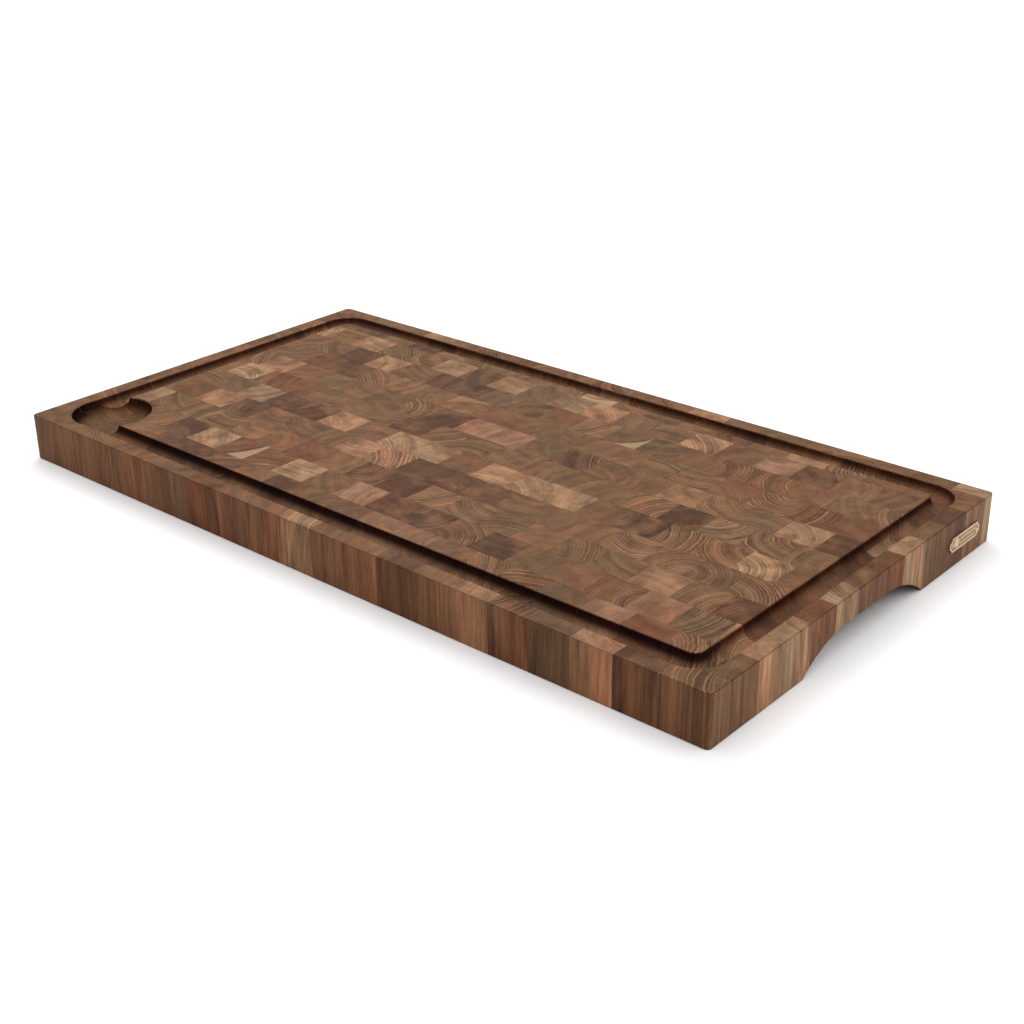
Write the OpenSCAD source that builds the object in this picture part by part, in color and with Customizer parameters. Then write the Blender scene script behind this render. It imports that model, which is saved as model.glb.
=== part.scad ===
// End-grain carving board: thirteen glued strips of upright wooden blocks, with a juice
// groove, a corner well, two finger grips under the ends and a small pinned name plate.
// Origin: centre of the underside. +X along the board, +Y across it, +Z up.

/* [Board] */
// Length of the board, along X
board_l = 525; // [420:5:640]
// Width of the board, along Y
board_w = 280; // [240:5:360]
// Thickness of the board
board_t = 30; // [28:1:50]
// Radius of the four upright corners
corner_r = 3; // [2:0.5:8]
// Radius of the eased edges round the top and the underside
edge_r = 0.75; // [0.5:0.25:2]

/* [Blocks] */
// Usual length of one end-grain block
block_l = 26; // [20:1:60]
// How far a joint may wander from its even spacing
joint_wander = 0.6; // [0:0.1:2]
// Width of the cut-down strip at the near edge
near_strip_w = 16; // [15:1:20]
// Width of the cut-down strip at the far edge
far_strip_w = 11; // [10:0.5:11]
// Thickness of the glue line between neighbouring blocks
glue_line = 0.1; // [0.05:0.05:0.2]

/* [Juice groove] */
// Distance from the board's sides to the middle of the groove
groove_inset = 18; // [17.5:0.5:19]
// Radius of the round-bottomed groove
groove_r = 6.5; // [4:0.5:6.5]
// Radius of the groove's middle line where it turns a corner
groove_turn_r = 12; // [8:0.5:16]

/* [Juice well] */
// Distance from the two near sides to the middle of the well
well_inset = 36; // [33:1:40]
// Radius of the well at its mouth
well_r = 25; // [20:0.5:26]
// Depth of the well
well_depth = 11; // [7:0.5:14]
// Radius of the cove between the well's wall and its floor
well_cove_r = 10; // [4:0.5:12]

/* [Finger grips] */
// Height of the grip's ceiling above the underside
grip_h = 15; // [12:0.5:15]
// Width of the level part of the ceiling
grip_flat_w = 40; // [20:1:60]
// Radius of the ceiling's falling sides
grip_side_r = 63.5; // [40:0.5:70]
// Radius that rounds the foot of each falling side
grip_foot_r = 5; // [2:0.5:8]
// How far the grip reaches in from the end of the board
grip_reach = 30; // [22:1:45]

/* [Name plate] */
// Length of the plate, across the board's end
plate_l = 34.5; // [30:0.5:38]
// Height of the plate
plate_h = 8.8; // [8:0.1:11]
// Thickness of the plate
plate_t = 1.2; // [0.8:0.1:2]
// Radius of the scalloped corners
plate_scallop_r = 2.6; // [2:0.1:3.2]
// Width of the raised border
plate_border = 0.8; // [0.5:0.1:1.2]
// Distance from the board's middle to the plate's middle, along Y
plate_y = 105; // [100:1:112]
// Height of the plate's middle above the underside
plate_z = 15.3; // [11:0.1:16]
// Distance between the two pins
pin_spacing = 27.6; // [24:0.1:30]

/* [Hidden] */
$fn = 64;

half_l = board_l / 2;
half_w = board_w / 2;
over = 1;                // how far a cutting tool runs past the wood

// Strips: thirteen in all, the eleven inner ones equally wide
strip_count = 13;
inner_strip_w = (board_w - near_strip_w - far_strip_w) / (strip_count - 2);
// Place of the first joint in each strip, near edge first: every other strip is
// slid about half a block along, as they were laid up by eye
first_joint = [27, 12.5, 29.5, 14, 6, 20.5, 8.5, 16, 8.5, 19.5, 9, 18, 10.5];
shortest_block = 5;      // no joint comes nearer than this to the board's ends
joint_seed = 11;

// Groove and well
groove_x = half_l - groove_inset;
groove_y = half_w - groove_inset;
well_x = -half_l + well_inset;
well_y = -half_w + well_inset;

// Name plate
plate_field_depth = 0.35;
pin_hole_depth = 11;
pin_r = 0.7;
pin_head_r = 1.1;
pin_head_h = 0.5;
pin_end_gap = 0.5;

wood_tones = ["#7a5a42", "#8a6548", "#6f4f3b", "#94704f", "#7d5b45"];

// ---- Where the strips and their blocks lie -------------------------------------------

// Y of the near side of strip i, counted from 0; i = strip_count gives the far side
function strip_y(i) =
    i == 0 ? -half_w :
    i == strip_count ? half_w :
    -half_w + near_strip_w + (i - 1) * inner_strip_w;

// X of every joint in strip i, from left to right
function joints(i) =
    let (
        even = [for (x = first_joint[i]; x < board_l - shortest_block; x = x + block_l) x],
        stray = rands(-joint_wander, joint_wander, len(even), joint_seed + i)
    )
    [for (k = [0 : len(even) - 1]) even[k] + stray[k] - half_l];

// ---- The uncut board -------------------------------------------------------------------

// Upright rectangle of width w and the board's height, its four corners eased
module eased_rectangle(w) {
    translate([-w / 2 + edge_r, 0]) square([w - 2 * edge_r, board_t]);
    translate([-w / 2, edge_r]) square([w, board_t - 2 * edge_r]);
    for (x = [-w / 2 + edge_r, w / 2 - edge_r], z = [edge_r, board_t - edge_r])
        translate([x, z]) circle(edge_r);
}

// The board's outer shape, with eased edges that run round its upright corners
module board_outline() {
    translate([-half_l + corner_r, 0, 0]) rotate([90, 0, 90])
        linear_extrude(board_l - 2 * corner_r) eased_rectangle(board_w);
    translate([0, half_w - corner_r, 0]) rotate([90, 0, 0])
        linear_extrude(board_w - 2 * corner_r) eased_rectangle(board_l);
    for (x = [-half_l + corner_r, half_l - corner_r], y = [-half_w + corner_r, half_w - corner_r])
        translate([x, y, 0]) rotate_extrude() intersection() {
            eased_rectangle(2 * corner_r);
            square([corner_r, board_t]);
        }
}

// ---- What is cut into the board --------------------------------------------------------

// Straight run of the groove between two points on its middle line
module groove_run(from, to) {
    run = to - from;
    translate([from.x, from.y, board_t]) rotate([0, 90, atan2(run.y, run.x)])
        cylinder(h = norm(run), r = groove_r);
}

// Quarter turn of the groove: centre of the turn, and the direction that it starts in
module groove_turn(x, y, start) {
    translate([x, y, board_t]) rotate([0, 0, start])
        rotate_extrude(angle = 90) translate([groove_turn_r, 0]) circle(groove_r);
}

// Groove round three corners, both of its ends running into the well
module juice_groove() {
    turn_x = groove_x - groove_turn_r;
    turn_y = groove_y - groove_turn_r;
    groove_run([well_x, -groove_y], [turn_x, -groove_y]);
    groove_run([groove_x, -turn_y], [groove_x, turn_y]);
    groove_run([-turn_x, groove_y], [turn_x, groove_y]);
    groove_run([-groove_x, well_y], [-groove_x, turn_y]);
    groove_turn(turn_x, -turn_y, 270);
    groove_turn(turn_x, turn_y, 0);
    groove_turn(-turn_x, turn_y, 90);
}

// Round dish with a coved wall
module juice_well() {
    floor_r = well_r - well_cove_r;
    translate([well_x, well_y, board_t - well_depth]) rotate_extrude() {
        square([floor_r, well_depth + over]);
        translate([0, well_cove_r]) square([well_r, well_depth - well_cove_r + over]);
        intersection() {
            translate([floor_r, well_cove_r]) circle(well_cove_r);
            square([well_r, well_cove_r]);
        }
    }
}

// Outline of a grip seen from the board's end: level ceiling, falling sides, rounded feet
module grip_outline() {
    side_x = grip_flat_w / 2;
    side_z = grip_h - grip_side_r;
    foot_reach = sqrt(pow(grip_side_r + grip_foot_r, 2) - pow(grip_foot_r - side_z, 2));
    touch = grip_side_r / (grip_side_r + grip_foot_r);
    touch_x = side_x + foot_reach * touch;
    touch_z = side_z + (grip_foot_r - side_z) * touch;
    translate([-side_x, -over]) square([2 * side_x, grip_h + over]);
    for (side = [0, 1]) mirror([side, 0]) {
        intersection() {
            translate([side_x, side_z]) circle(grip_side_r);
            translate([side_x - over, -over]) square([touch_x - side_x + over, grip_h + 2 * over]);
        }
        difference() {
            translate([touch_x - over, -over])
                square([side_x + foot_reach - touch_x + over, touch_z + over]);
            translate([side_x + foot_reach, grip_foot_r]) circle(grip_foot_r);
        }
    }
}

// Outline of a grip seen from the side: level at the end of the board, coved further in
module grip_depth() {
    translate([-over, -over]) square([grip_reach - grip_h + over, grip_h + over]);
    translate([-over, -over]) square([grip_reach + over, over]);
    intersection() {
        translate([grip_reach - grip_h, 0]) circle(grip_h);
        square([grip_reach, grip_h]);
    }
}

// Finger grip under the right-hand end
module finger_grip() {
    reach = grip_reach + 2 * over;
    width = grip_flat_w + 2 * grip_side_r;
    intersection() {
        translate([half_l + over, 0, 0]) rotate([90, 0, -90])
            linear_extrude(reach) grip_outline();
        translate([half_l, width / 2, 0]) rotate([90, 0, 0])
            mirror([1, 0]) linear_extrude(width) grip_depth();
    }
}

// Blind holes that the plate's pins are driven into
module pin_holes() {
    for (y = [plate_y - pin_spacing / 2, plate_y + pin_spacing / 2])
        translate([half_l - pin_hole_depth, y, plate_z]) rotate([0, 90, 0])
            cylinder(h = pin_hole_depth + over, r = pin_r, $fn = 32);
}

// ---- Sub-parts -------------------------------------------------------------------------

// The blocks of strip i as they come from the saw, a little over length at the board's sides
module raw_blocks(i) {
    near = strip_y(i) + (i == 0 ? -over : glue_line / 2);
    far = strip_y(i + 1) + (i == strip_count - 1 ? over : -glue_line / 2);
    x = joints(i);
    starts = concat([-half_l - over], [for (joint = x) joint + glue_line / 2]);
    ends = concat([for (joint = x) joint - glue_line / 2], [half_l + over]);
    for (k = [0 : len(x)])
        translate([starts[k], near, -over])
            cube([ends[k] - starts[k], far - near, board_t + 2 * over]);
}

// Strip i of end-grain blocks, shaped as part of the finished board
module block_strip(i) {
    color(wood_tones[i % len(wood_tones)]) difference() {
        intersection() {
            raw_blocks(i);
            board_outline();
        }
        juice_groove();
        juice_well();
        finger_grip();
        mirror([1, 0, 0]) finger_grip();
        pin_holes();
    }
}

// Outline of the plate, drawn in by the given inset
module plate_outline(inset) {
    l = plate_l - 2 * inset;
    h = plate_h - 2 * inset;
    difference() {
        square([l, h], center = true);
        for (x = [-plate_l / 2, plate_l / 2], y = [-plate_h / 2, plate_h / 2])
            translate([x, y]) circle(plate_scallop_r + inset);
    }
}

// Puts something drawn flat, facing up, against the board's right-hand end
module on_right_end() {
    translate([half_l, plate_y, plate_z]) rotate([90, 0, 90]) children();
}

module name_plate() {
    color("#d8be94") on_right_end() difference() {
        linear_extrude(plate_t) plate_outline(0);
        translate([0, 0, plate_t - plate_field_depth])
            linear_extrude(plate_field_depth + over) plate_outline(plate_border);
        for (x = [-pin_spacing / 2, pin_spacing / 2])
            translate([x, 0, -over]) cylinder(h = plate_t + 2 * over, r = pin_r, $fn = 32);
    }
}

// Two drive pins with low round heads
module plate_pins() {
    seat = plate_t - plate_field_depth;
    shank = pin_hole_depth - pin_end_gap;
    color("#c9ab7c") on_right_end() for (x = [-pin_spacing / 2, pin_spacing / 2])
        translate([x, 0, 0]) {
            translate([0, 0, -shank]) cylinder(h = shank + seat, r = pin_r, $fn = 32);
            translate([0, 0, seat]) cylinder(h = pin_head_h, r = pin_head_r, $fn = 32);
        }
}

block_strip(0);  // strip_01
block_strip(1);  // strip_02
block_strip(2);  // strip_03
block_strip(3);  // strip_04
block_strip(4);  // strip_05
block_strip(5);  // strip_06
block_strip(6);  // strip_07
block_strip(7);  // strip_08
block_strip(8);  // strip_09
block_strip(9);  // strip_10
block_strip(10);  // strip_11
block_strip(11);  // strip_12
block_strip(12);  // strip_13
name_plate();
plate_pins();
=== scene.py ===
"""Finished looks for the end-grain carving board: oiled blocks, a pinned brass plate and a studio."""

import math
import random

import bmesh
import bpy
from bpy.props import FloatProperty, FloatVectorProperty, IntProperty, PointerProperty
from bpy.types import Operator, Panel, PropertyGroup
from mathutils import Matrix, Vector


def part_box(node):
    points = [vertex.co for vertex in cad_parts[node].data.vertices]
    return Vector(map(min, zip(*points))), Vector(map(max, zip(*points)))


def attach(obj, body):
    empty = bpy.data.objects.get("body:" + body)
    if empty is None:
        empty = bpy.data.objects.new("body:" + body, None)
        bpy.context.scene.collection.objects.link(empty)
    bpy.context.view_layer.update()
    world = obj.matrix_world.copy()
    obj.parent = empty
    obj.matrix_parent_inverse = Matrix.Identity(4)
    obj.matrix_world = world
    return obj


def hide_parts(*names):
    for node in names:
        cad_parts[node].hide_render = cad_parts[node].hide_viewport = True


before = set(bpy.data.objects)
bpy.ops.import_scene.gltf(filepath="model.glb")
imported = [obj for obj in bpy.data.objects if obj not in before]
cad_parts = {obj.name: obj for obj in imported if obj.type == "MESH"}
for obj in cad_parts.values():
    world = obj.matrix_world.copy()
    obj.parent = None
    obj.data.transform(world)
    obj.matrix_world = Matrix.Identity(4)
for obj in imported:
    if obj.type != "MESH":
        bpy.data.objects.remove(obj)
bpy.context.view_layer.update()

bl_info = {
    "name": "End-Grain Carving Board",
    "version": (1, 0, 0),
    "blender": (4, 5, 0),
    "location": "3D View > Sidebar > Carving Board",
    "description": "Builds an oiled end-grain carving board with a juice groove and a brass plate",
    "category": "Object",
}

MM = 0.001
BODY = "root"
SLIVER = 0.02 * MM      # a hair's breadth, for clearances too small to see
OVERCUT = 1.0 * MM      # how far raw blocks and cutters run past the board
TOUCH = 0.5 * MM        # a block this close to the board's side reaches that side
HALF_GLUE = 0.05 * MM   # half the glue line between two blocks
RIM_WIDTH = 9.0 * MM    # less than the flat rim outside the groove
ABOVE_GRIPS = 16.0 * MM  # higher than the grips' ceilings, and lower than the well's floor
BIG_FACE = 60.0 * MM * MM  # larger than any facet of a curve

STRIPS = sorted(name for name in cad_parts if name.startswith("strip_"))
LOW = Vector(min(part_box(name)[0][axis] for name in STRIPS) for axis in range(3))
HIGH = Vector(max(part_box(name)[1][axis] for name in STRIPS) for axis in range(3))
PLATE_LOW, PLATE_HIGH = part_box("name_plate")
PIN_LOW, PIN_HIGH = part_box("plate_pins")


# ---- Sizes and colours a user would change ---------------------------------------------

def length(name, description, millimetres):
    """A length property, its default given in millimetres."""
    return FloatProperty(
        name=name, description=description, default=millimetres * MM, min=0.0, unit="LENGTH", precision=5
    )


def colour(name, description, value):
    """A colour property."""
    return FloatVectorProperty(
        name=name, description=description, default=value, min=0.0, max=1.0, size=3, subtype="COLOR"
    )


class BoardSizes(PropertyGroup):
    corner_radius: length("Corner radius", "Radius of the four upright corners", 3.0)
    edge_radius: length("Edge radius", "Radius of the eased top and bottom edges", 0.75)
    groove_inset: length("Groove inset", "From the board's sides to the groove's middle", 18.0)
    groove_radius: length("Groove radius", "Radius of the round-bottomed groove", 6.5)
    groove_turn: length("Groove turn", "Radius of the groove's middle line at a corner", 12.0)
    rim_radius: length("Rim radius", "Easing where the groove and the well break the surface", 0.9)
    well_inset: length("Well inset", "From the two near sides to the well's middle", 36.0)
    well_radius: length("Well radius", "Radius of the well at its mouth", 25.0)
    well_depth: length("Well depth", "Depth of the well", 11.0)
    well_cove: length("Well cove", "Radius between the well's wall and its floor", 10.0)
    grip_height: length("Grip height", "From the underside to the grip's ceiling", 15.0)
    grip_flat: length("Grip flat", "Width of the level part of the grip's ceiling", 40.0)
    grip_side: length("Grip side radius", "Radius of the ceiling's falling sides", 63.5)
    grip_foot: length("Grip foot radius", "Radius at the foot of each falling side", 5.0)
    grip_reach: length("Grip reach", "How far a grip reaches in from the end", 30.0)
    pin_hole: length("Pin hole radius", "Radius of the holes for the plate's pins", 0.7)
    pin_room: length("Pin room", "Depth of each hole beyond its pin's tip", 0.5)


class PlateSizes(PropertyGroup):
    scallop: length("Scallop radius", "Radius of the plate's hollow corners", 2.6)
    border: length("Border", "Width of the raised border", 0.8)
    field_depth: length("Field depth", "Depth of the field inside the border", 0.35)
    ease: length("Ease", "Radius of the plate's outer edge", 0.18)
    relief: FloatProperty(
        name="Relief", description="Part of the field's depth that the beading fills", default=0.72,
        min=0.0, max=0.8, subtype="FACTOR",
    )
    boss_place: FloatProperty(
        name="Boss place", description="Part of the way from the middle to the end that the boss stands",
        default=0.52, min=0.0, max=0.7, subtype="FACTOR",
    )
    row_start: length("Row start", "From the boss's middle to the first lozenge and bead", 4.6)
    lozenge_pitch: length("Lozenge pitch", "From one lozenge to the next", 1.62)
    lozenge_row: length("Lozenge row", "Height of the lozenges above the middle", 1.15)
    bead_pitch: length("Bead pitch", "From one bead to the next", 1.35)
    bead_row: length("Bead row", "Depth of the beads below the middle", 1.55)


class WoodColours(PropertyGroup):
    brown: colour("Brown", "The usual block", (0.146, 0.073, 0.036))
    umber: colour("Umber", "Dark block", (0.082, 0.038, 0.020))
    rust: colour("Rust", "Reddish block", (0.122, 0.052, 0.025))
    olive: colour("Olive", "Greenish brown block", (0.127, 0.070, 0.034))
    sand: colour("Sand", "Pale, dry-looking block", (0.248, 0.147, 0.078))
    amber: colour("Amber", "Pale golden block", (0.245, 0.132, 0.070))
    rose: colour("Rose", "Pale pinkish block", (0.222, 0.112, 0.064))
    sapwood: colour("Sapwood", "Palest wood, at the outside of the log", (0.400, 0.250, 0.150))
    knot: colour("Knot", "Small dark pin knots", (0.026, 0.013, 0.008))


class BrassColours(PropertyGroup):
    metal: colour("Brass", "Polished high spots", (0.68, 0.50, 0.33))
    patina: colour("Patina", "Dull low spots", (0.27, 0.19, 0.10))


class StudioSettings(PropertyGroup):
    azimuth: FloatProperty(
        name="Azimuth", description="Camera direction round the board", default=math.radians(41.24),
        subtype="ANGLE",
    )
    elevation: FloatProperty(
        name="Elevation", description="Camera angle above the floor", default=math.radians(25.46),
        subtype="ANGLE",
    )
    roll: FloatProperty(
        name="Roll", description="Camera tilt", default=math.radians(-0.68), subtype="ANGLE"
    )
    distance: length("Distance", "From the camera to the point it looks at", 915.4)
    aim_along: length("Aim along", "From the board's middle to the aim, towards the plate", 49.14)
    aim_across: length("Aim across", "From the board's middle to the aim, towards the near side", 29.652)
    lens: FloatProperty(name="Lens", description="Focal length", default=55.92, min=1.0, unit="CAMERA")
    floor: colour("Floor", "Colour of the studio floor", (0.87, 0.87, 0.87))
    horizon: FloatProperty(
        name="Horizon", description="Brightness of the light from low down", default=0.22, min=0.0
    )
    zenith: FloatProperty(
        name="Zenith", description="Brightness of the light from above", default=1.60, min=0.0
    )
    key: FloatProperty(
        name="Key", description="Power of the light over the far left corner", default=6.0, min=0.0,
        unit="POWER",
    )
    fill: FloatProperty(
        name="Fill", description="Power of the light beside the plate", default=3.0, min=0.0, unit="POWER"
    )


# ---- Shader arithmetic -----------------------------------------------------------------

class Value:
    """An output socket that ordinary arithmetic can be written on."""

    def __init__(self, graph, socket):
        self.graph = graph
        self.socket = socket

    def __add__(self, other):
        return self.graph.math("ADD", self, other)

    def __sub__(self, other):
        return self.graph.math("SUBTRACT", self, other)

    def __rsub__(self, other):
        return self.graph.math("SUBTRACT", other, self)

    def __mul__(self, other):
        return self.graph.math("MULTIPLY", self, other)

    def __truediv__(self, other):
        return self.graph.math("DIVIDE", self, other)

    def __rtruediv__(self, other):
        return self.graph.math("DIVIDE", other, self)

    __radd__ = __add__
    __rmul__ = __mul__

    def fraction(self):
        return self.graph.math("FRACT", self)

    def floor(self):
        return self.graph.math("FLOOR", self)

    def root(self):
        return self.graph.math("SQRT", self)

    def size(self):
        return self.graph.math("ABSOLUTE", self)

    def ramp(self, low, high):
        """Rises smoothly from 0 at low to 1 at high, or falls if low is the greater."""
        settings = {"interpolation_type": "SMOOTHSTEP"}
        if isinstance(low, (int, float)) and isinstance(high, (int, float)) and low > high:
            return 1.0 - self.ramp(high, low)
        return self.graph.node("ShaderNodeMapRange", settings, {0: self, 1: low, 2: high})


class Graph:
    """The node tree of one material, or of the world."""

    def __init__(self, owner):
        self.owner = owner
        owner.use_nodes = True
        self.tree = owner.node_tree
        self.tree.nodes.clear()

    def node(self, kind, settings=None, inputs=None, output=0):
        """Adds a node, sets it up, fills or links its sockets, and returns one output."""
        made = self.tree.nodes.new(kind)
        for key, value in (settings or {}).items():
            setattr(made, key, value)
        for key, value in (inputs or {}).items():
            if isinstance(value, Value):
                self.tree.links.new(value.socket, made.inputs[key])
            else:
                made.inputs[key].default_value = value
        return Value(self, made.outputs[output]) if made.outputs else None

    def math(self, operation, *values):
        return self.node("ShaderNodeMath", {"operation": operation}, dict(enumerate(values)))

    def vector(self, x, y, z):
        return self.node("ShaderNodeCombineXYZ", None, {0: x, 1: y, 2: z})

    def split(self, vector):
        """The three parts of a vector."""
        first = self.node("ShaderNodeSeparateXYZ", None, {0: vector})
        outputs = first.socket.node.outputs
        return [Value(self, outputs[axis]) for axis in range(3)]

    def attribute(self, name, output="Vector"):
        return self.node("ShaderNodeAttribute", {"attribute_name": name}, None, output)

    def noise(self, vector, scale, detail=2.0, rough=0.5):
        inputs = {"Vector": vector, "Scale": scale, "Detail": detail, "Roughness": rough}
        return self.node("ShaderNodeTexNoise", None, inputs)

    def noise_along(self, value, scale, detail=1.0):
        """Noise along a line."""
        inputs = {"W": value, "Scale": scale, "Detail": detail}
        return self.node("ShaderNodeTexNoise", {"noise_dimensions": "1D"}, inputs)

    def mix(self, factor, first, second, blend="MIX"):
        """Blends two colours."""
        settings = {"data_type": "RGBA", "blend_type": blend}
        return self.node("ShaderNodeMix", settings, {0: factor, 6: first, 7: second}, 2)

    def tint(self, tone, by):
        """A colour multiplied by another."""
        return self.mix(1.0, tone, by, "MULTIPLY")

    def shade(self, factor, tone):
        """A colour made darker or lighter by a factor."""
        settings = {"operation": "SCALE"}
        return self.node("ShaderNodeVectorMath", settings, {0: tone, "Scale": factor})

    def surface(self, base, rough, metallic, height, depth, **constants):
        """Finishes the material with a bump and a Principled shader."""
        bump = {"Height": height, "Distance": depth, "Strength": 1.0}
        inputs = {"Base Color": base, "Roughness": rough, "Metallic": metallic, **constants}
        inputs["Normal"] = self.node("ShaderNodeBump", None, bump)
        shader = self.node("ShaderNodeBsdfPrincipled", None, inputs)
        self.node("ShaderNodeOutputMaterial", None, {"Surface": shader})
        return self.owner


# ---- Materials -------------------------------------------------------------------------

def facing(g, routed, near_run):
    """Masks from how a face lies: upright sides, a hollow's steep walls, ends and eased edges."""
    normal = g.split(g.node("ShaderNodeNewGeometry", None, None, "Normal"))
    level = normal[2].size()
    upright = 1.0 - level.ramp(0.35, 0.75)
    steep = 1.0 - level.ramp(0.25 + 0.25 * near_run, 0.92 + 0.08 * near_run)
    end = normal[0].size().ramp(0.6, 0.9) * (1.0 - routed)
    eased = (1.0 - level.ramp(0.90, 0.99)) * (1.0 - upright) * (1.0 - routed)
    return upright, steep, end, eased


def oiled_wood(colours):
    """Solid end-grain wood: each block has its own pith, ring width, lean and tone."""
    g = Graph(bpy.data.materials.new("oiled_wood"))
    place = g.node("ShaderNodeTexCoord", None, None, "Object")
    x, y, z = g.split(g.shade(1.0 / MM, place))
    pith_x, pith_y, ring_width = g.split(g.attribute("pith"))
    lean_x, lean_y, seed = g.split(g.attribute("lean"))
    contrast, sap_radius, wildness = g.split(g.attribute("figure"))
    tone = g.attribute("tone", "Color")
    routed = g.attribute("routed", "Fac")
    mid = (LOW.z + HIGH.z) / 2 / MM
    near_side = LOW.y / MM
    near_run = y.ramp(near_side + 45.0, near_side + 25.0)
    upright, steep, end, eased = facing(g, routed, near_run)

    # Distance from the pith, which leans a little from upright
    from_x = x - pith_x - lean_x * (z - mid)
    from_y = y - pith_y - lean_y * (z - mid)
    grain = g.vector(from_x + seed * 61.0, from_y + seed * 43.0, z * 0.12)
    sway = (g.noise(grain, 0.07, 2.0) - 0.5) * wildness
    ripple = (g.noise(grain, 0.5, 1.0) - 0.5) * 0.9
    radius = (from_x * from_x + from_y * from_y).root() + sway + ripple
    years = radius / ring_width
    years = years + (g.noise_along(years * 0.45 + seed * 17.0, 1.0) - 0.5) * 1.8
    part = years.fraction()
    luck = {"W": years.floor() + seed * 9.0}
    vigour = g.node("ShaderNodeTexWhiteNoise", {"noise_dimensions": "1D"}, luck)
    patch = g.noise(grain, 0.09, 2.0, 0.6).ramp(0.34, 0.58)
    early = part.ramp(0.0, 0.08) * part.ramp(0.34, 0.12) * (0.45 + 0.55 * vigour) * (0.40 + 0.60 * patch)
    late = part.ramp(0.60, 0.98)

    # Broad bands that follow the rings, and soft clouds that don't
    band = g.noise_along(radius * 0.14 + seed * 23.0, 1.0).ramp(0.36, 0.66)
    cloud = g.noise(grain, 0.10, 3.0, 0.6)
    haze = g.noise(grain, 0.045, 2.0, 0.5)
    mottle = g.noise(g.vector(x, y, z * 0.15), 0.75, 3.0, 0.65)

    # Pores and fibres run up and down, so they are dots on top and streaks at the sides
    pores = g.noise(g.vector(x, y, z * 0.035), 2.4, 2.0, 0.65).ramp(0.55, 0.70)
    fibre = g.noise(g.vector(x, y, z * 0.03), 0.45, 4.0, 0.7)

    # Each block's own tone shows in patches over the board's usual brown
    usual = (*colours.brown, 1.0)
    tone = g.mix(0.35 + 0.65 * g.noise(grain, 0.055, 2.0, 0.6).ramp(0.36, 0.56), usual, tone)
    lightness = 0.10 + 1.14 * cloud + 0.58 * mottle + (band - 0.5) * (0.16 + 0.30 * contrast)
    lightness = lightness * (1.0 - 0.30 * contrast * late * (1.0 - 0.6 * upright))
    lightness = lightness * (1.0 + upright * (fibre - 0.5) * 2.3)
    body = g.shade(lightness, tone)
    redden = haze.ramp(0.42, 0.66) * 0.55
    body = g.mix(redden, body, g.tint(body, (1.16, 0.88, 0.84, 1.0)))
    pale_line = g.tint(tone, (2.35, 2.55, 2.60, 1.0))
    body = g.mix(early * contrast * (1.0 - 0.70 * upright), body, pale_line)

    # Sapwood outside the heart, and small dark pin knots
    sap = (radius - sap_radius).ramp(-0.7, 0.9)
    sapwood = g.shade(0.74 + 0.30 * cloud - 0.22 * late, tuple(colours.sapwood))
    body = g.mix(sap * 0.85, body, sapwood)
    cells = {"Vector": g.vector(x, y, z * 0.05), "Scale": 0.075}
    knot_distance = g.node("ShaderNodeTexVoronoi", None, cells, "Distance")
    knot_lot = g.split(g.node("ShaderNodeTexVoronoi", None, cells, "Color"))[0]
    knot = knot_lot.ramp(0.92, 0.93) * (knot_distance + 0.05 * fibre).ramp(0.12, 0.06)
    body = g.mix(knot * 0.8, body, (*colours.knot, 1.0))

    # Pores hold dark oil. The routed hollows get painted shade, most of all their steep walls and the
    # groove's near run; the eased edges and the long sides get painted shade too, and the two ends painted
    # light
    body = g.shade(1.0 - pores * (0.20 + 0.25 * early), body)
    # Painted shade in the groove and the well: darker on steep walls and along the groove's near run
    painted_hollow_shade = g.mix(near_run, (0.26, 0.16, 0.14, 1.0), (0.09, 0.045, 0.040, 1.0))
    body = g.mix(routed * (0.22 + 0.78 * steep), body, g.tint(body, painted_hollow_shade))
    # Painted shade on the eased edges, where they roll away from the top
    body = g.shade(1.0 - 0.45 * eased, body)
    # Painted shade on the long upright sides, not on the ends
    body = g.mix(upright * (1.0 - end) * 0.60, body, g.tint(body, (0.86, 0.68, 0.58, 1.0)))
    # Painted light: the two ends made much lighter and the upright sides a little
    body = g.shade((1.0 + 0.07 * upright) * (1.0 + 0.32 * end), body)

    # Where hands and cloths have smeared the oil the sheen changes
    smear = g.noise(g.vector(x, y, z), 0.045, 3.0, 0.6)
    rough = 0.50 + 0.16 * (smear - 0.5) + 0.10 * pores + 0.08 * early - 0.05 * late + 0.08 * routed
    height = 0.5 - 0.55 * pores - 0.18 * early * contrast + 0.25 * fibre - 0.6 * knot
    return g.surface(body, rough, 0.0, height, 0.07 * MM, **{"IOR": 1.46, "Specular IOR Level": 0.07})


def worn_brass(colours):
    """Satin brass: bright high spots, dull low spots, fine brushing and small dings."""
    g = Graph(bpy.data.materials.new("worn_brass"))
    place = g.node("ShaderNodeTexCoord", None, None, "Object")
    x, y, z = g.split(g.shade(1.0 / MM, place))
    raised = g.attribute("raised", "Fac")
    stain = g.noise(g.vector(x, y, z), 0.5, 4.0, 0.65)
    brushing = g.noise(g.vector(x * 3.0, y * 0.35, z * 6.0), 2.2, 2.0, 0.7)
    pitting = g.noise(g.vector(x, y, z), 4.5, 2.0, 0.6)
    polish = (raised * 0.60 + stain * 0.70 - 0.12).ramp(0.10, 0.90)
    base = g.mix(polish, (*colours.patina, 1.0), (*colours.metal, 1.0))
    base = g.shade(0.90 + 0.20 * brushing, base)
    rough = 0.46 - 0.14 * polish + 0.12 * (brushing - 0.5) + 0.10 * pitting.ramp(0.5, 0.8)
    height = 0.5 * pitting + 0.35 * brushing
    return g.surface(base, rough, 1.0, height, 0.03 * MM)


def brass(board):
    """The brass that the plate and its pins share."""
    return bpy.data.materials.get("worn_brass") or worn_brass(board.brass)


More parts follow.
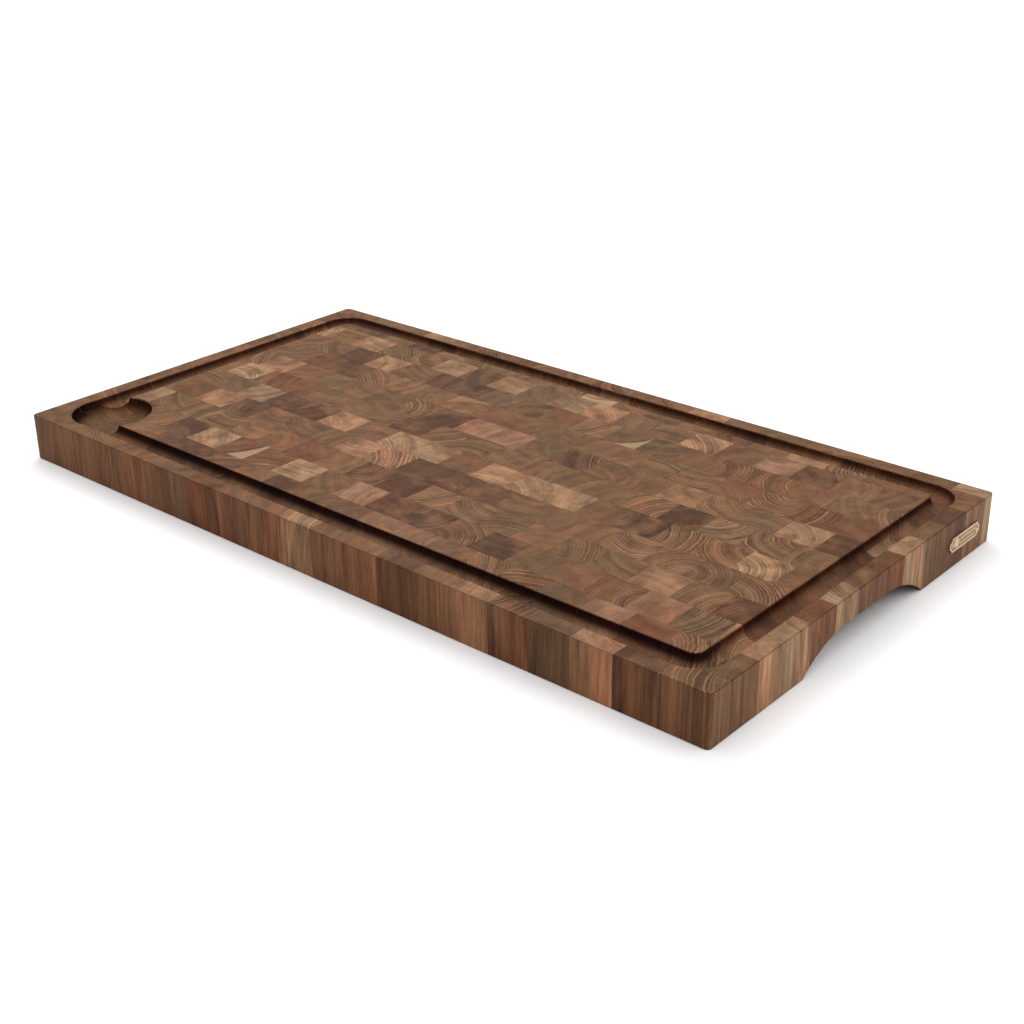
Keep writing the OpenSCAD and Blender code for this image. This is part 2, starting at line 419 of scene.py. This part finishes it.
def studio_floor(shade):
    """Matt pale paper with the faintest unevenness."""
    g = Graph(bpy.data.materials.new("studio_floor"))
    place = g.node("ShaderNodeTexCoord", None, None, "Object")
    fleck = g.noise(place, 9.0, 3.0, 0.6)
    base = g.shade(0.995 + 0.01 * fleck, shade)
    return g.surface(base, 0.85 + 0.05 * fleck, 0.0, fleck, 0.01 * MM)


# ---- Mesh building ---------------------------------------------------------------------

def mesh_object(name, bm):
    """Turns a bmesh into an object in the scene, its normals facing out."""
    bmesh.ops.recalc_face_normals(bm, faces=bm.faces)
    mesh = bpy.data.meshes.new(name)
    bm.to_mesh(mesh)
    bm.free()
    made = bpy.data.objects.new(name, mesh)
    bpy.context.scene.collection.objects.link(made)
    return made


def skin_rings(bm, rings):
    """Joins rings of as many points each with quads, and caps the first and the last."""
    made = [[bm.verts.new(point) for point in ring] for ring in rings]
    for low, high in zip(made, made[1:]):
        for i in range(len(low)):
            j = (i + 1) % len(low)
            bm.faces.new((low[i], low[j], high[j], high[i]))
    bm.faces.new(made[0][::-1])
    bm.faces.new(made[-1])


def arc(centre, radius, start, end, steps):
    """Points on an arc in a plane, angles in degrees."""
    for i in range(steps + 1):
        angle = math.radians(start + (end - start) * i / steps)
        yield (centre[0] + radius * math.cos(angle), centre[1] + radius * math.sin(angle))


def rounded_rectangle(half_x, half_y, radius, z, steps=10):
    """A ring of points round a rounded rectangle at height z."""
    ring = []
    for sx, sy, start in ((1, 1, 0), (-1, 1, 90), (-1, -1, 180), (1, -1, 270)):
        centre = (sx * (half_x - radius), sy * (half_y - radius))
        ring += [(px, py, z) for px, py in arc(centre, radius, start, start + 90, steps)]
    return ring


def board_blank(sizes):
    """The whole board with eased edges, before anything is cut into it."""
    half_x, half_y = HIGH.x, HIGH.y
    levels = []
    for inset, z in arc((sizes.edge_radius, LOW.z + sizes.edge_radius), sizes.edge_radius, 270, 180, 8):
        levels.append((inset, z))
    for inset, z in arc((sizes.edge_radius, HIGH.z - sizes.edge_radius), sizes.edge_radius, 180, 90, 8):
        levels.append((inset, z))
    bm = bmesh.new()
    skin_rings(bm, [
        rounded_rectangle(half_x - inset, half_y - inset, sizes.corner_radius - inset, z)
        for inset, z in levels
    ])
    return mesh_object("blank", bm)


def groove_section(sizes):
    """Round-bottomed section with eased rims, as (offset, height) pairs from left to right."""
    r, rim, top = sizes.groove_radius, sizes.rim_radius, HIGH.z + SLIVER
    left = list(arc((-r - rim, top - rim), rim, 90, 0, 5))
    lip = math.degrees(math.asin(rim / r))
    bowl = list(arc((0.0, top), r, 180 + lip, 360 - lip, 28))
    right = [(-offset, height) for offset, height in reversed(left)]
    return [(-r - rim, top + OVERCUT)] + left + bowl[1:-1] + right + [(r + rim, top + OVERCUT)]


def groove_path(sizes):
    """The groove's middle line from the well round the board and back: (point, heading)."""
    gx, gy = HIGH.x - sizes.groove_inset, HIGH.y - sizes.groove_inset
    turn = sizes.groove_turn
    well_x, well_y = LOW.x + sizes.well_inset, LOW.y + sizes.well_inset
    path = [(well_x, -gy, 0.0)]
    steps = 24
    for side_x, side_y, start in ((1, -1, 270), (1, 1, 0), (-1, 1, 90)):
        centre = (side_x * (gx - turn), side_y * (gy - turn))
        for i, (px, py) in enumerate(arc(centre, turn, start, start + 90, steps)):
            path.append((px, py, start + 90 + 90 * i / steps))
    path.append((-gx, well_y, 270.0))
    return path


def groove_cutter(sizes):
    """A solid as long as the groove, run past the board's surface."""
    section = groove_section(sizes)
    rings = []
    for px, py, heading in groove_path(sizes):
        side = math.radians(heading - 90)
        sx, sy = math.cos(side), math.sin(side)
        rings.append([(px + offset * sx, py + offset * sy, height) for offset, height in section])
    bm = bmesh.new()
    skin_rings(bm, rings)
    return mesh_object("groove", bm)


def lathe(bm, centre, profile, steps):
    """Turns a profile of (radius, height) pairs, closed on the axis, about an upright line."""
    rings = []
    for i in range(steps):
        angle = 2 * math.pi * i / steps
        c, s = math.cos(angle), math.sin(angle)
        rings.append([bm.verts.new((centre[0] + r * c, centre[1] + r * s, h)) for r, h in profile])
    low = bm.verts.new((centre[0], centre[1], profile[0][1]))
    high = bm.verts.new((centre[0], centre[1], profile[-1][1]))
    for ring, after in zip(rings, rings[1:] + rings[:1]):
        bm.faces.new((low, ring[0], after[0]))
        bm.faces.new((high, after[-1], ring[-1]))
        for i in range(len(profile) - 1):
            bm.faces.new((ring[i], ring[i + 1], after[i + 1], after[i]))


def well_cutter(sizes):
    """A round dish with a coved wall and an eased rim."""
    r, cove, rim, top = sizes.well_radius, sizes.well_cove, sizes.rim_radius, HIGH.z + SLIVER
    floor = HIGH.z - sizes.well_depth
    profile = [(r - cove, floor)]
    profile += list(arc((r - cove, floor + cove), cove, 270, 360, 16))[1:]
    profile += list(arc((r + rim, top - rim), rim, 180, 90, 5))
    profile.append((r + rim, top + OVERCUT))
    bm = bmesh.new()
    lathe(bm, (LOW.x + sizes.well_inset, LOW.y + sizes.well_inset), profile, 128)
    return mesh_object("well", bm)


def grip_arch(sizes):
    """Outline of a grip from the board's end, as (y, z) from one foot over to the other."""
    height, side, foot = sizes.grip_height, sizes.grip_side, sizes.grip_foot
    flat = sizes.grip_flat / 2
    centre_z = height - side
    reach = math.sqrt((side + foot) ** 2 - (foot - centre_z) ** 2)
    slope = math.degrees(math.atan2(foot - centre_z, reach))
    half = [(flat + reach, -OVERCUT)]
    half += list(arc((flat + reach, foot), foot, 270, 180 + slope, 6))
    half += list(arc((flat, centre_z), side, slope, 90, 28))[1:]
    return half + [(-y, z) for y, z in reversed(half)]


def grip_cove(sizes):
    """Outline of a grip from the board's side, as (distance in from the end, z)."""
    height, reach = sizes.grip_height, sizes.grip_reach
    points = [(-OVERCUT, -OVERCUT), (reach, -OVERCUT)]
    points += list(arc((reach - height, 0.0), height, 0, 90, 16))
    return points + [(-OVERCUT, height)]


def boolean(target, cutter, operation):
    """Cuts or trims the target with the cutter, at once."""
    modifier = target.modifiers.new(operation.lower(), "BOOLEAN")
    modifier.object = cutter
    modifier.operation = operation
    modifier.solver = "MANIFOLD"
    shaped = bpy.data.meshes.new_from_object(target.evaluated_get(bpy.context.evaluated_depsgraph_get()))
    target.modifiers.remove(modifier)
    target.data = shaped


def prism(bm, outline, place, start, end):
    """Extrudes an outline; place turns (u, v, w) into a point."""
    skin_rings(bm, [[place(u, v, w) for u, v in outline] for w in (start, end)])


def grip_cutter(sizes, side):
    """The finger grip at one end: side is 1 at the right and -1 at the left."""
    end = HIGH.x * side
    wide = HIGH.y
    past = 2 * OVERCUT
    arch = bmesh.new()
    prism(arch, grip_arch(sizes), lambda u, v, w: (end - side * w, u, v), -past, sizes.grip_reach + past)
    cutter = mesh_object("grip", arch)
    cove = bmesh.new()
    prism(cove, grip_cove(sizes), lambda u, v, w: (end - side * u, w, v), -wide, wide)
    trimmer = mesh_object("cove", cove)
    bpy.context.view_layer.update()
    boolean(cutter, trimmer, "INTERSECT")
    bpy.data.objects.remove(trimmer)
    return cutter


def pin_hole_cutter(sizes):
    """The two blind holes behind the plate."""
    bm = bmesh.new()
    height = (PIN_LOW.z + PIN_HIGH.z) / 2
    head = (PIN_HIGH.z - PIN_LOW.z) / 2
    for y in (PIN_LOW.y + head, PIN_HIGH.y - head):
        circle = list(arc((y, height), sizes.pin_hole, 0, 360, 24))[:-1]
        prism(bm, circle, lambda u, v, w: (w, u, v), PIN_LOW.x - sizes.pin_room, HIGH.x + OVERCUT)
    return mesh_object("pin_holes", bm)


def block_spans(name):
    """Where each block of a strip starts and ends along X, read from the strip's own solids in model.glb.
    """
    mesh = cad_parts[name].data
    spans = []
    for face in mesh.polygons:
        along = [mesh.vertices[v].co.x for v in face.vertices]
        spans.append((min(along), max(along)))
    spans.sort()
    merged = [list(spans[0])]
    for start, end in spans[1:]:
        if start > merged[-1][1] + SLIVER:
            merged.append([start, end])
        else:
            merged[-1][1] = max(merged[-1][1], end)
    return merged


def raw_blocks(name, spans):
    """Square-cut blocks, a little over length where they reach the board's sides."""
    low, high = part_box(name)
    near = low.y - (OVERCUT if low.y < LOW.y + TOUCH else 0.0)
    far = high.y + (OVERCUT if high.y > HIGH.y - TOUCH else 0.0)
    bm = bmesh.new()
    for start, end in spans:
        start -= OVERCUT if start < LOW.x + TOUCH else 0.0
        end += OVERCUT if end > HIGH.x - TOUCH else 0.0
        square = [(start, near), (end, near), (end, far), (start, far)]
        skin_rings(bm, [[(px, py, z) for px, py in square] for z in (LOW.z - OVERCUT, HIGH.z + OVERCUT)])
    return mesh_object(name + "_blocks", bm)


def plate_point(u, v, w):
    """A point from the plate's middle: u along it, v up, w out from the board's end."""
    middle = (PLATE_LOW + PLATE_HIGH) / 2
    return (PLATE_LOW.x + w, middle.y + u, middle.z + v)


def scalloped(half, radius, inset):
    """Outline of a plate with hollow corners, drawn in by an inset."""
    reach = radius + inset
    first = math.degrees(math.asin(inset / reach))
    ring = []
    for sx, sy, start in ((1, 1, 270), (-1, 1, 0), (-1, -1, 90), (1, -1, 180)):
        corner = (sx * half.x, sy * half.y)
        ring += list(arc(corner, reach, start - first, start - 90 + first, 10))
    return ring


def stud(bm, u, v, profile, steps):
    """A round piece on the plate: profile in (radius, height) pairs, from its foot to its top."""
    rings = []
    for radius, height in profile:
        circle = list(arc((u, v), radius, 0, 360, steps))[:-1]
        rings.append([plate_point(a, b, height) for a, b in circle])
    skin_rings(bm, rings)


def lozenge(bm, u, v, base, rise, half_u, half_v):
    """A small raised lozenge with sloping sides."""
    rings = []
    for scale, height in ((1.0, 0.0), (0.9, rise * 0.8), (0.62, rise)):
        du, dv = half_u * scale, half_v * scale
        square = ((u + du, v), (u, v + dv), (u - du, v), (u, v - dv))
        rings.append([plate_point(a, b, base + height) for a, b in square])
    skin_rings(bm, rings)


# ---- The wood of each block ------------------------------------------------------------

# Blocks that stand out, by strip number and block number from the left
ACCENTS = {
    "sand": {1: (9,), 3: (4, 7), 4: (1, 20), 6: (3, 8, 9, 13, 18, 20), 7: (2,), 9: (20,), 11: (1, 6, 8, 10),
             12: (10,), 13: (4, 13, 20)},
    "amber": {1: (14, 17), 2: (17,), 3: (19,), 4: (17,), 5: (3,), 6: (6, 11, 12), 8: (15, 18), 10: (4,),
              11: (3, 11, 14), 12: (16,)},
    "rose": {2: (11, 12), 3: (9, 17), 5: (8, 9), 8: (2, 9, 10), 10: (11,), 11: (16,)},
    "umber": {1: (12, 15, 18), 2: (5, 8), 3: (3, 10, 11, 13), 4: (9, 10, 19), 5: (4, 10, 11), 6: (4, 5),
              7: (8, 16, 20), 8: (8, 19), 9: (4,), 10: (6, 7), 11: (17, 20), 12: (1,)},
    "rust": {2: (6, 15), 3: (6,), 4: (7,), 5: (20,), 7: (3, 4), 8: (20,), 9: (16,), 10: (16,)},
    "olive": {1: (0, 13, 16), 2: (20,), 10: (20,)},
}
# Blocks with bold rings, numbered in the same way
RINGED = {2: (19,), 3: (2, 12, 16, 18), 4: (3, 4, 11, 18), 5: (16,), 6: (15, 16, 17), 7: (10, 15, 17, 18),
          8: (1, 7, 12), 9: (5, 14, 17), 10: (2, 13), 11: (4, 13)}
# The block in a strip that has sapwood at one corner
SAPPY = {3: 5, 10: 12, 12: 10}
# How often each colour comes up among the other blocks
COMMON = {"brown": 10, "olive": 6, "rust": 2, "umber": 1}

# What a block's grain may be: distances from its middle to the pith, ring widths and the wander of
# its rings, all in millimetres, and how boldly the rings show
PITH_DISTANCES = (17.0, 24.0, 32.0, 44.0, 60.0)
RING_WIDTHS = (1.3, 1.6, 2.0, 2.4, 2.8)
WANDERS = (1.5, 3.0, 5.0)
CONTRASTS = (0.12, 0.25, 0.4, 0.6, 0.85)
HEART_ONLY = 900.0      # a heart so wide that no sapwood shows


def block_nature(colours, strip, block, box, chance):
    """Tone and grain of one block: what grows in the shader from a pith somewhere nearby."""
    kind = next((name for name, where in ACCENTS.items() if block in where.get(strip, ())), None)
    kind = kind or chance.choices(list(COMMON), list(COMMON.values()))[0]
    light = chance.gauss(1.0, 0.10)
    warm = chance.gauss(0.0, 0.02)
    tone = Vector(getattr(colours, kind)) * light
    tone.x *= 1.0 + warm
    tone.z *= 1.0 - 1.4 * warm
    bearing = chance.uniform(0.0, 2 * math.pi)
    away = chance.choice(PITH_DISTANCES) * chance.uniform(0.85, 1.2)
    middle = ((box[0] + box[1]) / 2 / MM, (box[2] + box[3]) / 2 / MM)
    pith = (middle[0] + away * math.cos(bearing), middle[1] + away * math.sin(bearing))
    ring = chance.choice(RING_WIDTHS) * chance.uniform(0.9, 1.1)
    bold = block in RINGED.get(strip, ())
    contrast = chance.uniform(0.85, 1.1) if bold else chance.choice(CONTRASTS)
    sap = away + 6.0 if SAPPY.get(strip) == block else HEART_ONLY
    wild = chance.choice(WANDERS) * chance.uniform(0.8, 1.2)
    lean = (chance.gauss(0.0, 0.10), chance.gauss(0.0, 0.10))
    return {
        "pith": (*pith, ring),
        "lean": (*lean, chance.uniform(1.0, 9.0)),
        "figure": (contrast, sap, wild),
        "tone": (*tone, 1.0),
    }


def write_block_data(mesh, spans, natures):
    """Stores each block's nature on its faces, and marks the faces of the groove and the well."""
    kinds = {"pith": "FLOAT_VECTOR", "lean": "FLOAT_VECTOR", "figure": "FLOAT_VECTOR"}
    kinds.update({"tone": "FLOAT_COLOR", "routed": "FLOAT"})
    for key, kind in kinds.items():
        mesh.attributes.new(key, kind, "FACE")
    layers = {key: mesh.attributes[key] for key in kinds}
    routed = layers.pop("routed")
    for face in mesh.polygons:
        block = next(i for i, (start, end) in enumerate(spans) if face.center.x < end + HALF_GLUE)
        for key, layer in layers.items():
            field = "color" if key == "tone" else "vector"
            setattr(layer.data[face.index], field, natures[block][key])
        inside = max(abs(face.center.x) - HIGH.x, abs(face.center.y) - HIGH.y) < -RIM_WIDTH
        hollow = inside and LOW.z + ABOVE_GRIPS < face.center.z < HIGH.z - SLIVER / 2
        routed.data[face.index].value = 1.0 if hollow and not flush(face) else 0.0


def flush(face):
    """True on a glued face, which is upright and exactly across the board or along it."""
    return abs(face.normal.z) < 1e-4 and max(abs(face.normal.x), abs(face.normal.y)) > 0.99999


def smooth_by_angle(mesh, degrees=30.0):
    """Smooth shading, kept sharp at real edges and round the big flat faces."""
    bm = bmesh.new()
    bm.from_mesh(mesh)
    limit = math.radians(degrees)
    for face in bm.faces:
        face.smooth = True
    for edge in bm.edges:
        faces = edge.link_faces
        if len(faces) != 2:
            edge.smooth = False
            continue
        bend = faces[0].normal.angle(faces[1].normal, 0.0)
        flat = max(face.calc_area() for face in faces) > BIG_FACE and bend > math.radians(1.0)
        edge.smooth = bend < limit and not flat
    bm.to_mesh(mesh)
    bm.free()


# ---- Operators -------------------------------------------------------------------------

class BOARD_OT_strips(Operator):
    """Build the glued strips of end-grain blocks"""
    bl_idname = "board.strips"
    bl_label = "Strips of Blocks"

    def execute(self, context):
        board = context.scene.carving_board
        wood = oiled_wood(board.wood)
        blank = board_blank(board.sizes)
        cutters = [
            groove_cutter(board.sizes), well_cutter(board.sizes), grip_cutter(board.sizes, 1),
            grip_cutter(board.sizes, -1), pin_hole_cutter(board.sizes),
        ]
        chance = random.Random(board.seed)
        for number, name in enumerate(STRIPS, 1):
            low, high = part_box(name)
            halves = {"left": [], "right": []}
            for i, (start, end) in enumerate(block_spans(name)):
                nature = block_nature(board.wood, number, i, (start, end, low.y, high.y), chance)
                halves["left" if start + end < 0 else "right"].append(((start, end), nature))
            for side, blocks in halves.items():
                piece = self.half_strip(name, blocks, blank, cutters)
                piece.name = f"{name}_{side}"
                piece.data.name = piece.name
                piece.data.materials.append(wood)
                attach(piece, BODY)
                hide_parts(name)
        for tool in [blank, *cutters]:
            bpy.data.objects.remove(tool)
        return {"FINISHED"}

    def half_strip(self, name, blocks, blank, cutters):
        """Shapes the blocks of half a strip, given as (span, nature) pairs."""
        spans, natures = zip(*blocks)
        piece = raw_blocks(name, spans)
        bpy.context.view_layer.update()
        boolean(piece, blank, "INTERSECT")
        for cutter in cutters:
            boolean(piece, cutter, "DIFFERENCE")
        write_block_data(piece.data, spans, natures)
        smooth_by_angle(piece.data)
        piece.data.materials.clear()
        return piece


class BOARD_OT_name_plate(Operator):
    """Build the scalloped brass plate with its raised border and beading"""
    bl_idname = "board.name_plate"
    bl_label = "Brass Plate"

    # Profiles of what is raised on the field, as (radius in millimetres, part of the full rise)
    RING = ((2.75, 0.0), (2.65, 1.0), (2.25, 1.0), (2.15, 0.1))
    BUTTON = ((1.35, 0.0), (1.2, 0.6), (0.8, 1.0), (0.3, 1.1))
    BEAD = ((0.44, 0.0), (0.38, 0.55), (0.22, 0.85), (0.06, 0.9))
    BEADS = 13
    LOZENGES = 11
    LOZENGE_HALF = 0.62 * MM
    LOZENGE_TALL = 1.05 * MM

    def execute(self, context):
        board = context.scene.carving_board
        sizes = board.plate
        half = Vector(((PLATE_HIGH.y - PLATE_LOW.y) / 2, (PLATE_HIGH.z - PLATE_LOW.z) / 2))
        thick = PLATE_HIGH.x - PLATE_LOW.x
        field = thick - sizes.field_depth
        ease = sizes.ease
        bm = bmesh.new()
        levels = [(0.0, 0.0)]
        levels += [(inset, height) for inset, height in arc((ease, thick - ease), ease, 180, 90, 5)]
        levels += [(sizes.border - ease / 2, thick)]
        levels += list(arc((sizes.border - ease / 2, thick - ease / 2), ease / 2, 90, 10, 4))[1:]
        levels += [(sizes.border + 0.6 * ease, field)]
        skin_rings(bm, [
            [plate_point(u, v, w) for u, v in scalloped(half, sizes.scallop, inset)] for inset, w in levels
        ])
        edge_count = len(bm.faces)
        self.beading(bm, sizes, half, field)
        plate = mesh_object("name_plate_brass", bm)
        raised = plate.data.attributes.new("raised", "FLOAT", "FACE")
        for face in plate.data.polygons:
            high = face.center.x > PLATE_LOW.x + field + 2 * SLIVER
            raised.data[face.index].value = 1.0 if high or face.index >= edge_count else 0.0
        smooth_by_angle(plate.data, 40.0)
        plate.data.materials.append(brass(board))
        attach(plate, BODY)
        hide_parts("name_plate")
        return {"FINISHED"}

    def beading(self, bm, sizes, half, field):
        """A ringed boss at the left, then a row of small lozenges over a row of beads."""
        rise = sizes.field_depth * sizes.relief
        boss = -half.x * sizes.boss_place
        rows = boss + sizes.row_start
        self.turned(bm, boss, 0.0, field, rise, self.RING, 40)
        self.turned(bm, boss, 0.0, field, rise, self.BUTTON, 32)
        for i in range(self.LOZENGES):
            u = rows + i * sizes.lozenge_pitch
            tall = self.LOZENGE_TALL if i % 2 else self.LOZENGE_HALF
            lozenge(bm, u, sizes.lozenge_row, field, rise, self.LOZENGE_HALF, tall)
        for i in range(self.BEADS):
            self.turned(bm, rows + i * sizes.bead_pitch, -sizes.bead_row, field, rise, self.BEAD, 14)

    def turned(self, bm, u, v, field, rise, profile, steps):
        """A stud on the plate's field, from a profile in millimetres and parts of the rise."""
        stud(bm, u, v, [(radius * MM, field + part * rise) for radius, part in profile], steps)


class BOARD_OT_plate_pins(Operator):
    """Build the two domed pins that hold the plate"""
    bl_idname = "board.plate_pins"
    bl_label = "Plate Pins"

    # How bright the pins' heads are rubbed, from 0, dull, to 1
    POLISH = 0.8

    def execute(self, context):
        board = context.scene.carving_board
        head = (PIN_HIGH.z - PIN_LOW.z) / 2
        seat = PLATE_HIGH.x - PLATE_LOW.x - board.plate.field_depth
        tip = PIN_LOW.x - PLATE_LOW.x
        rise = PIN_HIGH.x - PLATE_LOW.x - seat
        shank = board.sizes.pin_hole - SLIVER
        profile = [(0.3 * shank, tip), (shank, tip + shank), (shank, seat), (head, seat)]
        for degrees in range(0, 90, 10):
            angle = math.radians(degrees)
            profile.append((head * math.cos(angle), seat + rise * (0.25 + 0.75 * math.sin(angle))))
        middle = (PLATE_LOW.y + PLATE_HIGH.y) / 2
        bm = bmesh.new()
        for y in (PIN_LOW.y + head, PIN_HIGH.y - head):
            stud(bm, y - middle, 0.0, profile, 28)
        pins = mesh_object("plate_pins_brass", bm)
        raised = pins.data.attributes.new("raised", "FLOAT", "FACE")
        for face in pins.data.polygons:
            raised.data[face.index].value = self.POLISH
        smooth_by_angle(pins.data, 40.0)
        pins.data.materials.append(brass(board))
        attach(pins, BODY)
        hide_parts("plate_pins")
        return {"FINISHED"}


class BOARD_OT_stage(Operator):
    """Set up the floor, the lights and the camera"""
    bl_idname = "board.stage"
    bl_label = "Studio Stage"

    # Each lamp's name, which is its power's name too, where it hangs, where it points and its width,
    # all in metres
    LAMPS = (
        ("key", (-0.70, 0.55, 1.20), (0.0, 0.0, 0.0), 1.0),
        ("fill", (1.3, 0.1, 1.25), (0.1, 0.0, 0.0), 1.2),
    )
    # The floor's half width and its thickness
    FLOOR_REACH = 20.0
    FLOOR_THICKNESS = 0.02
    # Brightness of the backdrop beyond the floor, which lights nothing
    BACKDROP = 1.0

    def execute(self, context):
        studio = context.scene.carving_board.studio
        bm = bmesh.new()
        reach = self.FLOOR_REACH
        levels = (LOW.z - self.FLOOR_THICKNESS, LOW.z)
        skin_rings(bm, [rounded_rectangle(reach, reach, reach / 4, z, 12) for z in levels])
        floor = mesh_object("floor", bm)
        floor.data.materials.append(studio_floor(tuple(studio.floor)))
        self.world(context, studio)
        for name, place, aim, width in self.LAMPS:
            self.lamp(name, place, aim, width, getattr(studio, name))
        self.camera(context, studio)
        context.scene.view_settings.view_transform = "Standard"
        return {"FINISHED"}

    def world(self, context, studio):
        """Soft light from all round, strongest from above."""
        g = Graph(bpy.data.worlds.new("studio"))
        height = g.split(g.node("ShaderNodeTexCoord", None, None, "Generated"))[2]
        glow = studio.horizon + (studio.zenith - studio.horizon) * height.ramp(0.15, 0.85)
        seen = g.node("ShaderNodeLightPath", None, None, "Is Camera Ray")
        glow = glow + seen * (self.BACKDROP - glow)
        shine = {"Color": (1.0, 1.0, 1.0, 1.0), "Strength": glow}
        g.node("ShaderNodeOutputWorld", None, {"Surface": g.node("ShaderNodeBackground", None, shine)})
        context.scene.world = g.owner

    def lamp(self, name, place, aim, width, power):
        """A round soft light."""
        data = bpy.data.lights.new(name, "AREA")
        data.shape = "DISK"
        data.size = width
        data.energy = power
        lamp = bpy.data.objects.new(name, data)
        bpy.context.scene.collection.objects.link(lamp)
        lamp.location = place
        lamp.rotation_euler = (Vector(aim) - Vector(place)).to_track_quat("-Z", "Y").to_euler()

    def camera(self, context, studio):
        """A camera that looks down at the plate's end and the near side."""
        az, el = studio.azimuth, studio.elevation
        back = Vector((math.sin(az) * math.cos(el), -math.cos(az) * math.cos(el), math.sin(el)))
        level = (-back).cross(Vector((0.0, 0.0, 1.0))).normalized()
        upright = level.cross(-back)
        right = math.cos(studio.roll) * level + math.sin(studio.roll) * upright
        up = math.cos(studio.roll) * upright - math.sin(studio.roll) * level
        aim = Vector((studio.aim_along, -studio.aim_across, (LOW.z + HIGH.z) / 2))
        data = bpy.data.cameras.new("camera")
        data.lens = studio.lens
        data.sensor_width = 36.0
        camera = bpy.data.objects.new("camera", data)
        context.scene.collection.objects.link(camera)
        turn = Matrix((right, up, back)).transposed().to_4x4()
        camera.matrix_world = Matrix.Translation(aim + back * studio.distance) @ turn
        context.scene.camera = camera


class CarvingBoard(PropertyGroup):
    seed: IntProperty(name="Seed", description="Which blocks came to hand", default=7)
    sizes: PointerProperty(type=BoardSizes)
    plate: PointerProperty(type=PlateSizes)
    wood: PointerProperty(type=WoodColours)
    brass: PointerProperty(type=BrassColours)
    studio: PointerProperty(type=StudioSettings)


class BOARD_PT_panel(Panel):
    """Lists the steps that build the board"""
    bl_idname = "BOARD_PT_panel"
    bl_label = "Carving Board"
    bl_space_type = "VIEW_3D"
    bl_region_type = "UI"
    bl_category = "Carving Board"

    def draw(self, context):
        for step in STEPS:
            self.layout.operator(step.bl_idname)


STEPS = (BOARD_OT_stage, BOARD_OT_strips, BOARD_OT_name_plate, BOARD_OT_plate_pins)
GROUPS = (BoardSizes, PlateSizes, WoodColours, BrassColours, StudioSettings, CarvingBoard)


def register():
    for made in (*GROUPS, *STEPS, BOARD_PT_panel):
        bpy.utils.register_class(made)
    bpy.types.Scene.carving_board = PointerProperty(type=CarvingBoard)


def unregister():
    del bpy.types.Scene.carving_board
    for made in reversed((*GROUPS, *STEPS, BOARD_PT_panel)):
        bpy.utils.unregister_class(made)


def main():
    register()
    for step in STEPS:
        group, action = step.bl_idname.split(".")
        getattr(getattr(bpy.ops, group), action)()


if __name__ == "__main__":
    main()
